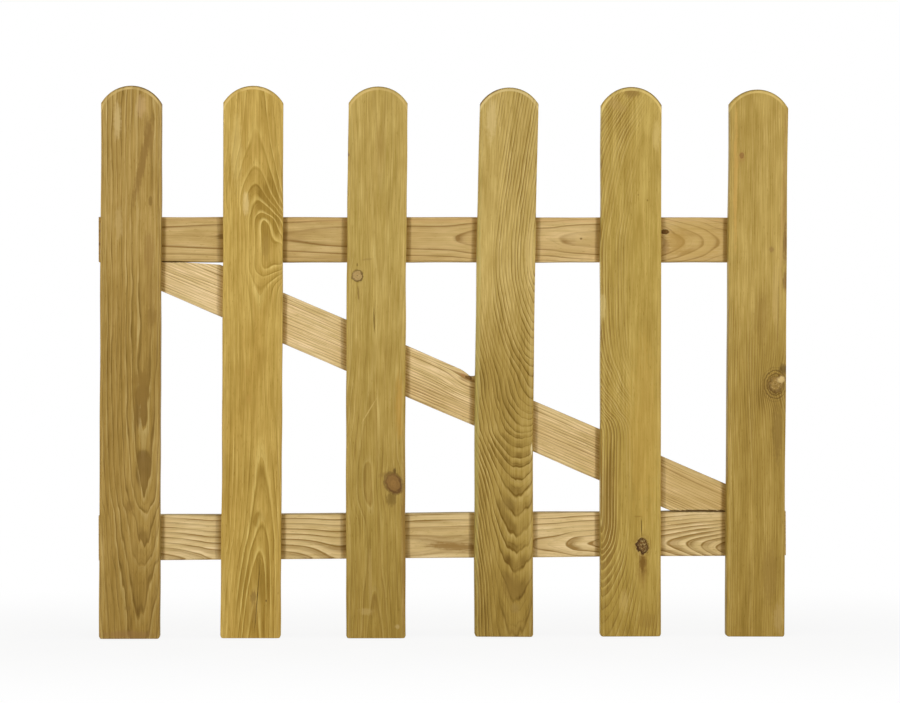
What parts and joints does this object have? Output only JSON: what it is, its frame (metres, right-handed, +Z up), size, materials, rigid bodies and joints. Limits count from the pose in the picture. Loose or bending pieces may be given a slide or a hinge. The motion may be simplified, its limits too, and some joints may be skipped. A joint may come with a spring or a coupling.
{
  "type": "picket gate leaf",
  "caption": "Low timber picket gate leaf with round-topped pales on two rails and a diagonal brace behind.",
  "frame": {"origin": "on the flat back face of the top rail, at the middle of its height and 50 mm in from its hinge end, where the upper hinge is fastened", "axes": "+X along the rails towards the hinge end, which is on the right when the pales face the viewer; +Y from the pales' front faces to the back; +Z up"},
  "size_m": [1.0052, 0.048, 0.8029],
  "materials": {
    "pale_wood": "planed pressure-treated pine, olive yellow, matt, with brown growth rings and knots",
    "rail_wood": "planed pressure-treated pine, pale tan, matt, with brown growth rings",
    "brace_wood": "planed pressure-treated pine, light tan, matt, with fine close grain",
    "screw_steel": "dull yellowish zinc plating"
  },
  "bodies": {
    "root": {"pale_1": "pale_wood", "pale_2": "pale_wood", "pale_3": "pale_wood", "pale_4": "pale_wood", "pale_5": "pale_wood", "pale_6": "pale_wood", "top_rail": "rail_wood", "bottom_rail": "rail_wood", "diagonal_brace": "brace_wood", "top_rail_screws_1": "screw_steel", "top_rail_screws_2": "screw_steel", "top_rail_screws_3": "screw_steel", "top_rail_screws_4": "screw_steel", "top_rail_screws_5": "screw_steel", "top_rail_screws_6": "screw_steel", "bottom_rail_screws_1": "screw_steel", "bottom_rail_screws_2": "screw_steel", "bottom_rail_screws_3": "screw_steel", "bottom_rail_screws_4": "screw_steel", "bottom_rail_screws_5": "screw_steel", "bottom_rail_screws_6": "screw_steel", "brace_screws_1": "screw_steel", "brace_screws_2": "screw_steel", "brace_screws_3": "screw_steel", "brace_screws_4": "screw_steel", "brace_screws_5": "screw_steel", "brace_screws_6": "screw_steel"}
  },
  "joints": []
}
